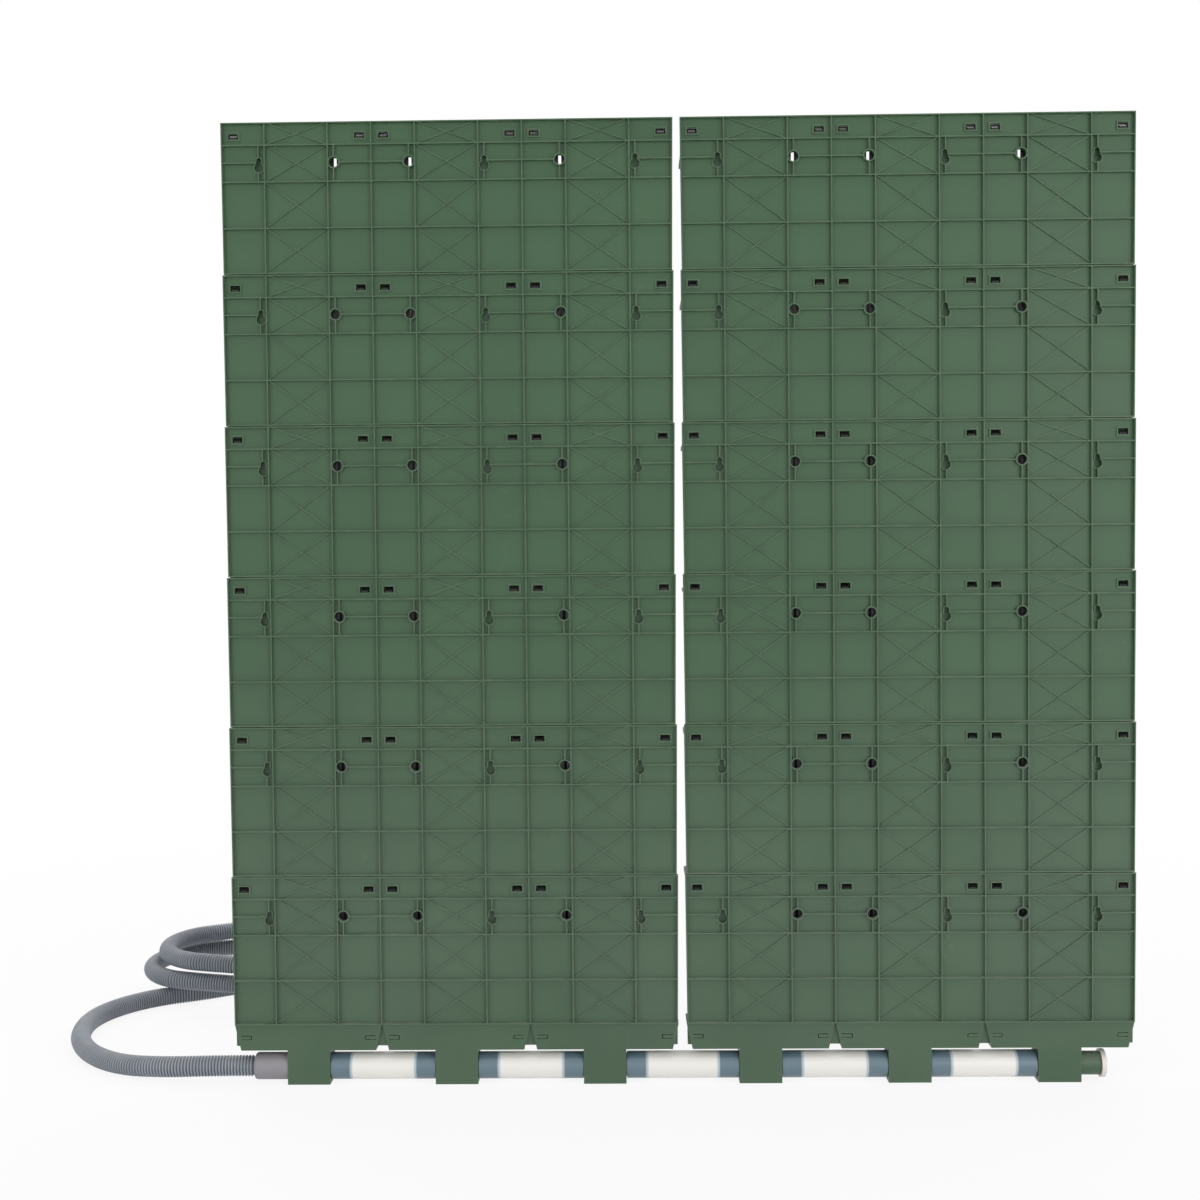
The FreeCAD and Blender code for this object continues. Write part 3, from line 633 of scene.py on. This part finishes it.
@dataclass(frozen=True)
class RibbedHoseFinish:
    """Blue-grey hose plastic with painted shade in its grooves, dusty on top."""

    name: str = "ribbed_hose"
    crest: Colour = from_srgb(150, 156, 165)
    groove_shade: Colour = from_srgb(88, 94, 103)
    dust: Colour = from_srgb(168, 168, 166)
    gloss: Band = (0.42, 0.56)
    grain_scale: float = 1100.0
    grain_depth: float = 0.0001
    grain_strength: float = 0.4
    cloud_scale: float = 14.0
    cloud_share: float = 0.25
    dust_amount: float = 0.3
    dust_scale: float = 40.0

    def material(self) -> bpy.types.Material:
        """Builds the finish.

        Returns:
            The material.
        """
        material, sketch = new_material(self.name)
        height = sketch.node("ShaderNodeAttribute", attribute_name=RIB_HEIGHT).outputs["Fac"]
        skin_values = {"Grain Scale": self.grain_scale, "Cloud Scale": self.cloud_scale}
        skin = place_effect(sketch, Effect.SKIN, skin_values)
        dust_values = {"Amount": self.dust_amount, "Patch Scale": self.dust_scale}
        dust = place_effect(sketch, Effect.DUST, dust_values)
        clouded = sketch.reckon("MULTIPLY", skin["Cloud"], self.cloud_share)
        # The grooves take a painted shade; the random cloud mixes towards that same darker tone.
        tone = sketch.blend(sketch.remap(height, (0.0, 1.0)), self.groove_shade, self.crest)
        tone = sketch.blend(clouded, tone, self.groove_shade)
        tone = sketch.blend(dust["Mask"], tone, self.dust)
        relief = sketch.node(
            "ShaderNodeBump",
            {
                "Strength": self.grain_strength,
                "Distance": self.grain_depth,
                "Height": skin["Grain"],
            },
        )
        shader = sketch.node(
            "ShaderNodeBsdfPrincipled",
            {
                "Base Color": tone,
                "Roughness": sketch.remap(skin["Cloud"], (0.0, 1.0), self.gloss),
                "Normal": relief.outputs[0],
            },
        )
        finish_surface(sketch, shader)
        return material


PANEL_GREEN = PlasticFinish(
    name="panel_green",
    deep=from_srgb(54, 84, 57),
    pale=from_srgb(61, 90, 63),
    dust=from_srgb(150, 160, 146),
    # A pale worn colour and a strong amount paint a highlight along the edges and laps.
    rubbed_and_highlight=from_srgb(138, 156, 130),
    specular=0.36,
    dust_amount=0.5,
    wear_and_highlight_amount=0.6,
    # Paints a pale sheen over the lower rows.
    painted_sheen_amount=0.1,
)
POT_BLACK = PlasticFinish(
    name="pot_black",
    deep=from_srgb(20, 20, 21),
    pale=from_srgb(29, 29, 30),
    dust=from_srgb(96, 92, 86),
    rubbed_and_highlight=from_srgb(82, 82, 82),
    gloss=(0.32, 0.46),
    grain_scale=1100.0,
    dust_amount=0.2,
    scuff_amount=0.2,
)
PLUG_WHITE = PlasticFinish(
    name="plug_white",
    deep=from_srgb(226, 216, 212),
    pale=from_srgb(236, 228, 224),
    dust=from_srgb(196, 188, 178),
    rubbed_and_highlight=from_srgb(204, 192, 188),
    wear_and_highlight_amount=0.2,
    scuff_amount=0.1,
)
CUFF_GREY = PlasticFinish(
    name="cuff_grey",
    deep=from_srgb(132, 130, 135),
    pale=from_srgb(144, 141, 146),
    dust=from_srgb(168, 166, 162),
    rubbed_and_highlight=from_srgb(168, 166, 168),
    gloss=(0.42, 0.54),
    grain_scale=900.0,
)


def dress(name: str, *materials: bpy.types.Material) -> bpy.types.Object:
    """Gives a CAD node its materials.

    Args:
        name: Name of the node.
        materials: Materials for its slots, in order.

    Returns:
        The node's object.
    """
    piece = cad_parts[name]
    piece.data.materials.clear()
    for material in materials:
        piece.data.materials.append(material)
    return piece


def nodes_named(start: str) -> List[str]:
    """Lists the CAD nodes whose names start with a word."""
    return sorted(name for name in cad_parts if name.startswith(start))


@dataclass
class BackPanels:
    """Ribbed back panels in two columns of six, with the collectors of the same plastic."""

    panel_word: str = "panel"
    collector_word: str = "collector"
    finish: PlasticFinish = PANEL_GREEN

    def dress(self) -> List[bpy.types.Object]:
        """Dresses the panels and the collectors under them.

        Returns:
            The panels' and collectors' objects.
        """
        green = self.finish.material()
        names = nodes_named(self.panel_word) + nodes_named(self.collector_word)
        return [dress(name, green) for name in names]


@dataclass
class Pots:
    """Black pots, each with a grate and a felt wick inside.

    The wick's sides are given from the pot's middle, and its depth from the wall.
    """

    word: str = "pot"
    wick_sides: Band = (0.031, 0.045)
    wick_depth: Band = (0.013, 0.017)
    slack: float = 0.0003
    finish: PlasticFinish = POT_BLACK
    felt: FeltFinish = FeltFinish()

    def dress(self) -> List[bpy.types.Object]:
        """Dresses every pot.

        Returns:
            The pots' objects.
        """
        black = self.finish.material()
        felt = self.felt.material()
        made = []
        for name in nodes_named(self.word):
            pot = dress(name, black, felt)
            self._mark_wick(name, pot)
            made.append(pot)
        return made

    def _within(self, values: Sequence[float], band: Band) -> bool:
        """Tells whether all values lie in a band, with a little slack."""
        return min(values) > band[0] - self.slack and max(values) < band[1] + self.slack

    def _mark_wick(self, name: str, pot: bpy.types.Object) -> None:
        """Gives the wick's faces the felt.

        Args:
            name: Name of the pot's node.
            pot: Object of the pot.
        """
        low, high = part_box(name)
        middle = (low.x + high.x) / 2
        for face in pot.data.polygons:
            corners = [pot.data.vertices[index].co for index in face.vertices]
            across = [corner.x - middle for corner in corners]
            depth = [corner.y for corner in corners]
            inside = self._within(across, self.wick_sides) and self._within(depth, self.wick_depth)
            face.material_index = int(inside)


@dataclass
class LinkPipes:
    """Milky pipes between the collectors' stubs."""

    node: str = "link_pipes"
    finish: MilkyPipeFinish = MilkyPipeFinish()

    def dress(self) -> List[bpy.types.Object]:
        """Dresses the pipes and returns them."""
        return [dress(self.node, self.finish.material())]


@dataclass
class StubFittings:
    """The pale end plug and the two grey hose cuffs."""

    plug: str = "end_plug"
    cuffs: Tuple[str, str] = ("hose_cuff", "hose_end_cuff")
    plug_finish: PlasticFinish = PLUG_WHITE
    cuff_finish: PlasticFinish = CUFF_GREY

    def dress(self) -> List[bpy.types.Object]:
        """Dresses the plug and the cuffs.

        Returns:
            The plug's and cuffs' objects.
        """
        grey = self.cuff_finish.material()
        plug = dress(self.plug, self.plug_finish.material())
        return [plug] + [dress(name, grey) for name in self.cuffs]


@dataclass
class DrainHose:
    """Ribbed drain hose: a free run on the floor, then two long turns of a coil."""

    run: Tuple[Point, ...] = (
        (-0.4353, 0.018, -0.914),
        (-0.478, 0.018, -0.914),
        (-0.528, 0.020, -0.916),
        (-0.582, 0.037, -0.919),
        (-0.629, 0.078, -0.919),
        (-0.662, 0.145, -0.919),
        (-0.667, 0.222, -0.919),
        (-0.630, 0.289, -0.919),
        (-0.562, 0.324, -0.919),
        (-0.497, 0.379, -0.919),
        (-0.436, 0.438, -0.919),
        (-0.358, 0.4555, -0.919),
        (-0.2987, 0.4555, -0.919),
    )
    coil_right: Tuple[float, float] = (-0.2737, 0.3695)
    coil_radius: float = 0.086
    coil_reaches: Tuple[float, float] = (0.281, 0.262)
    coil_climb: float = 0.022
    coil_end_angle: float = 25.0
    coil_tail: float = 0.045
    bend_points: int = 6
    line_steps: int = 40
    outer: float = 0.021
    bore: float = 0.017
    real_length: float = 2.76
    rib_pitch: float = 0.0032
    rib_depth: float = 0.0013
    rib_rings: int = 4
    crest_rings: int = 2
    plain_rings: int = 3
    bore_stride: int = 12
    sides: int = 24
    body: str = "frame"
    slot: str = "hose_grey"
    replaced: Tuple[str, str] = ("hose_run", "hose_coil")
    fittings: Tuple[str, str] = ("hose_cuff", "hose_end_cuff")
    finish: RibbedHoseFinish = RibbedHoseFinish()

    def _bend(self, centre_x: float, height: float, begin: float, swept: float) -> List[Point]:
        """Gives the control points of one bend of the coil, clockwise from above.

        Args:
            centre_x: Where the bend's centre is along the wall.
            height: Height of the hose's middle line.
            begin: Angle at which the bend begins, in degrees.
            swept: Angle that it turns through, in degrees.

        Returns:
            The control points, on the corners of a shape drawn round the bend.
        """
        step = swept / self.bend_points
        corner = self.coil_radius / math.cos(math.radians(step / 2))
        points = []
        for number in range(self.bend_points):
            angle = math.radians(begin - step * (number + 0.5))
            x = centre_x + corner * math.cos(angle)
            y = self.coil_right[1] + corner * math.sin(angle)
            points.append((x, y, height))
        return points

    def control_points(self) -> List[Point]:
        """Gives the hose's control points, from its cuff to its free end.

        Returns:
            The run's points, the coil's turns and the tail.
        """
        points = list(self.run)
        height = self.run[-1][2]
        last_bend = 180.0 - self.coil_end_angle
        for reach, swept in zip(self.coil_reaches, (180.0, last_bend)):
            points += self._bend(self.coil_right[0], height, 90.0, 180.0)
            height += self.coil_climb
            points += self._bend(self.coil_right[0] - reach, height, 270.0, swept)
        turned = math.radians(270.0 - last_bend)
        end_x = self.coil_right[0] - self.coil_reaches[-1] + self.coil_radius * math.cos(turned)
        end_y = self.coil_right[1] + self.coil_radius * math.sin(turned)
        end_x += self.coil_tail * math.sin(turned)
        end_y -= self.coil_tail * math.cos(turned)
        return points + [(end_x, end_y, height)]

    def middle_line(self) -> np.ndarray:
        """Reads the hose's middle line from its spline.

        Returns:
            Points along the spline, in metres.
        """
        curve = bpy.data.curves.new("hose_line", "CURVE")
        curve.dimensions = "3D"
        curve.resolution_u = self.line_steps
        spline = curve.splines.new("NURBS")
        points = self.control_points()
        spline.points.add(len(points) - 1)
        for held, place in zip(spline.points, points):
            held.co = (*place, 1.0)
        spline.order_u = 3
        spline.use_endpoint_u = True
        holder = bpy.data.objects.new("hose_line", curve)
        mesh = bpy.data.meshes.new_from_object(holder)
        line = np.array([vertex.co for vertex in mesh.vertices], float)
        bpy.data.meshes.remove(mesh)
        bpy.data.objects.remove(holder)
        bpy.data.curves.remove(curve)
        return line

    @staticmethod
    def _spaced(line: np.ndarray, step: float) -> np.ndarray:
        """Gives points at even distances along a line.

        Args:
            line: Points of the line.
            step: Distance wanted between points.

        Returns:
            The evenly spaced points.
        """
        lengths = np.linalg.norm(np.diff(line, axis=0), axis=1)
        along = np.concatenate([[0.0], np.cumsum(lengths)])
        at = np.linspace(0.0, along[-1], int(round(along[-1] / step)) + 1)
        return np.stack([np.interp(at, along, line[:, axis]) for axis in range(3)], axis=1)

    def _rib_heights(self, count: int) -> np.ndarray:
        """Gives 1 on the ribs' crests and 0 in the grooves and at the plain ends.

        Args:
            count: How many rings the hose has.

        Returns:
            The height at each ring.
        """
        heights = np.where(np.arange(count) % self.rib_rings < self.crest_rings, 1.0, 0.0)
        heights[: self.plain_rings] = 0.0
        heights[-self.plain_rings :] = 0.0
        return heights

    def _rings(self, line: np.ndarray, radii: np.ndarray) -> np.ndarray:
        """Sets a ring of points round each point of a line.

        Args:
            line: Points of the middle line.
            radii: Radius at each point.

        Returns:
            The rings' points, ring after ring.
        """
        heading = np.gradient(line, axis=0)
        heading /= np.linalg.norm(heading, axis=1)[:, None]
        side = np.cross(heading, (0.0, 0.0, 1.0))
        side /= np.linalg.norm(side, axis=1)[:, None]
        up = np.cross(side, heading)
        turn = np.linspace(0.0, 2 * math.pi, self.sides, endpoint=False)
        sideways = np.cos(turn)[None, :, None] * side[:, None, :]
        upward = np.sin(turn)[None, :, None] * up[:, None, :]
        return (line[:, None, :] + radii[:, None, None] * (sideways + upward)).reshape(-1, 3)

    def _skin(self, rings: int, first: int, inward: bool) -> List[Quad]:
        """Lists the faces between rings.

        Args:
            rings: How many rings there are.
            first: Number of the first ring's first point.
            inward: Whether the faces look at the middle line.

        Returns:
            The faces, as point numbers.
        """
        faces = []
        for ring in range(rings - 1):
            start = first + ring * self.sides
            following = start + self.sides
            for side in range(self.sides):
                after = (side + 1) % self.sides
                face = (start + side, start + after, following + after, following + side)
                faces.append(face[::-1] if inward else face)
        return faces

    def _mouths(self, outer_count: int, inner_count: int) -> List[Quad]:
        """Lists the faces that join the outside to the bore at both ends.

        Args:
            outer_count: How many points the outside has.
            inner_count: How many points the bore has.

        Returns:
            The faces, as point numbers.
        """
        far_outer = outer_count - self.sides
        far_inner = outer_count + inner_count - self.sides
        faces = []
        for side in range(self.sides):
            after = (side + 1) % self.sides
            faces.append((after, side, outer_count + side, outer_count + after))
            faces.append((far_outer + side, far_outer + after, far_inner + after, far_inner + side))
        return faces

    def _mesh(self, line: np.ndarray) -> bpy.types.Mesh:
        """Makes the hose's mesh with its ribs and its bore.

        Args:
            line: Evenly spaced points of the middle line.

        Returns:
            The mesh, which keeps each point's rib height.
        """
        height = self._rib_heights(len(line))
        outer = self._rings(line, self.outer / 2 - self.rib_depth * (1.0 - height))
        last = len(line) - 1
        inner_line = line[np.unique(np.append(np.arange(0, len(line), self.bore_stride), last))]
        inner = self._rings(inner_line, np.full(len(inner_line), self.bore / 2))
        faces = self._skin(len(line), 0, False) + self._skin(len(inner_line), len(outer), True)
        faces += self._mouths(len(outer), len(inner))
        mesh = bpy.data.meshes.new("drain_hose")
        mesh.from_pydata(np.concatenate([outer, inner]).tolist(), [], faces)
        mesh.polygons.foreach_set("use_smooth", [True] * len(mesh.polygons))
        heights = np.concatenate([np.repeat(height, self.sides), np.zeros(len(inner))])
        kept = mesh.attributes.new(RIB_HEIGHT, "FLOAT", "POINT")
        kept.data.foreach_set("value", heights.astype(np.float32))
        mesh.materials.append(self.finish.material())
        mesh.update()
        return mesh

    def build(self) -> bpy.types.Object:
        """Lays the hose as a ribbed tube from the collector to its free end.

        Returns:
            The hose's object.
        """
        line = self._spaced(self.middle_line(), self.rib_pitch / self.rib_rings)
        hose = bpy.data.objects.new("drain_hose", self._mesh(line))
        bpy.context.scene.collection.objects.link(hose)
        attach(hose, self.body)
        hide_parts(*self.replaced)
        return hose


@dataclass(frozen=True)
class Lamp:
    """One soft square lamp."""

    name: str
    place: Point
    side: float
    power: float

    def light(self, target: Point) -> bpy.types.Object:
        """Adds the lamp to the scene.

        Args:
            target: Point that the lamp looks at.

        Returns:
            The lamp's object.
        """
        data = bpy.data.lights.new(self.name, "AREA")
        data.shape = "SQUARE"
        data.size = self.side
        data.energy = self.power
        lamp = bpy.data.objects.new(self.name, data)
        lamp.location = self.place
        aim = Vector(target) - Vector(self.place)
        lamp.rotation_euler = aim.to_track_quat("-Z", "Y").to_euler()
        bpy.context.scene.collection.objects.link(lamp)
        return lamp


@dataclass
class Studio:
    """Camera, white floor, soft lamps and white surroundings."""

    camera_place: Point = (-0.0521, -1.6171, -0.3984)
    camera_pitch: float = 1.5
    camera_yaw: float = 0.97
    camera_roll: float = -0.51
    camera_clip: Band = (0.05, 100.0)
    focal_pixels: float = 1619.0
    sensor: float = 36.0
    floor_half: float = 14.0
    floor_tone: Colour = (0.9, 0.9, 0.9, 1.0)
    floor_glow: float = 0.88
    shadow_reach: Band = (0.9, 2.2)
    white: Colour = (1.0, 1.0, 1.0, 1.0)
    ambient: float = 0.48
    middle: Point = (0.0, 0.0, -0.45)
    lamps: Tuple[Lamp, ...] = (
        Lamp("wall_front", (0.0, -3.2, -0.6), 4.0, 20.0),
        Lamp("wall_side_left", (-2.4, -3.0, -0.2), 2.4, 26.0),
        Lamp("wall_side_right", (2.4, -3.0, -0.2), 2.4, 60.0),
        Lamp("pot_side_left", (-2.2, 3.2, 1.6), 2.4, 44.0),
        Lamp("pot_side_right", (2.2, 3.2, 1.6), 2.4, 44.0),
        Lamp("overhead", (0.0, -0.2, 3.0), 3.0, 46.0),
    )

    def camera(self) -> bpy.types.Object:
        """Sets a nearly level camera, nearly square to the panels.

        Returns:
            The camera's object.
        """
        data = bpy.data.cameras.new("camera")
        data.sensor_width = self.sensor
        data.lens = self.focal_pixels * self.sensor / IMAGE_SIDE
        data.clip_start, data.clip_end = self.camera_clip
        camera = bpy.data.objects.new("camera", data)
        turned = Matrix.Rotation(math.radians(self.camera_yaw), 4, "Z")
        tipped = Matrix.Rotation(math.radians(90.0 - self.camera_pitch), 4, "X")
        rolled = Matrix.Rotation(math.radians(self.camera_roll), 4, "Z")
        camera.matrix_world = Matrix.Translation(self.camera_place) @ turned @ tipped @ rolled
        bpy.context.scene.collection.objects.link(camera)
        bpy.context.scene.camera = camera
        return camera

    @staticmethod
    def _seen_rays(sketch: Sketch) -> bpy.types.NodeSocket:
        """Tells the rays that see the background from those that light the object.

        Args:
            sketch: Sketch of the node tree.

        Returns:
            A socket with 1 for camera, glossy and transmitted rays.
        """
        path = sketch.node("ShaderNodeLightPath").outputs
        mirrored = sketch.reckon("MAXIMUM", path["Is Glossy Ray"], path["Is Transmission Ray"])
        return sketch.reckon("MAXIMUM", path["Is Camera Ray"], mirrored)

    def _floor_material(self, level: float) -> bpy.types.Material:
        """Builds a white that keeps the shadow near the planter and fades out beyond.

        Args:
            level: Height of the floor.

        Returns:
            The material.
        """
        material, sketch = new_material("white_floor")
        diffuse = sketch.node("ShaderNodeBsdfDiffuse", {"Color": self.floor_tone})
        glow = sketch.node("ShaderNodeEmission", {"Strength": 1.0})
        distance = sketch.node("ShaderNodeVectorMath", {0: sketch.own_place()}, operation="LENGTH")
        near, far = (math.hypot(reach, level) for reach in self.shadow_reach)
        glowing = sketch.remap(distance.outputs["Value"], (near, far), (self.floor_glow, 1.0))
        share = sketch.reckon("MULTIPLY", self._seen_rays(sketch), glowing)
        sides = {0: share, 1: diffuse.outputs[0], 2: glow.outputs[0]}
        finish_surface(sketch, sketch.node("ShaderNodeMixShader", sides))
        return material

    def floor(self) -> bpy.types.Object:
        """Lays a white floor that keeps the planter's shadow.

        Returns:
            The floor's object.
        """
        level = CAD_BOX[0].z
        half = self.floor_half
        around = [(-half, -half), (half, -half), (half, half), (-half, half)]
        mesh = bpy.data.meshes.new("floor")
        mesh.from_pydata([(x, y, level) for x, y in around], [], [(0, 1, 2, 3)])
        mesh.materials.append(self._floor_material(level))
        floor = bpy.data.objects.new("floor", mesh)
        bpy.context.scene.collection.objects.link(floor)
        return floor

    def surroundings(self) -> None:
        """Makes the surroundings white to the eye and evenly bright to the object."""
        world = bpy.data.worlds.new("studio")
        world.use_nodes = True
        world.node_tree.nodes.clear()
        sketch = Sketch(world.node_tree)
        lit = sketch.node("ShaderNodeBackground", {"Color": self.white, "Strength": self.ambient})
        seen = sketch.node("ShaderNodeBackground", {"Color": self.white, "Strength": 1.0})
        sides = {0: self._seen_rays(sketch), 1: lit.outputs[0], 2: seen.outputs[0]}
        mixed = sketch.node("ShaderNodeMixShader", sides)
        sketch.node("ShaderNodeOutputWorld", {"Surface": mixed.outputs[0]})
        bpy.context.scene.world = world

    def build(self) -> None:
        """Sets up the whole studio."""
        bpy.context.scene.view_settings.view_transform = "Standard"
        self.camera()
        self.floor()
        self.surroundings()
        for lamp in self.lamps:
            lamp.light(self.middle)


def main() -> None:
    """Builds the studio and every sub-assembly, and reports each piece."""
    logging.basicConfig(level=logging.INFO, format="%(name)s: %(message)s")
    Studio().build()
    hose = DrainHose().build()
    log.info("laid %s, %d points", hose.name, len(hose.data.vertices))
    for assembly in (BackPanels(), Pots(), LinkPipes(), StubFittings()):
        for piece in assembly.dress():
            log.info("dressed %s", piece.name)


if __name__ == "__main__":
    main()
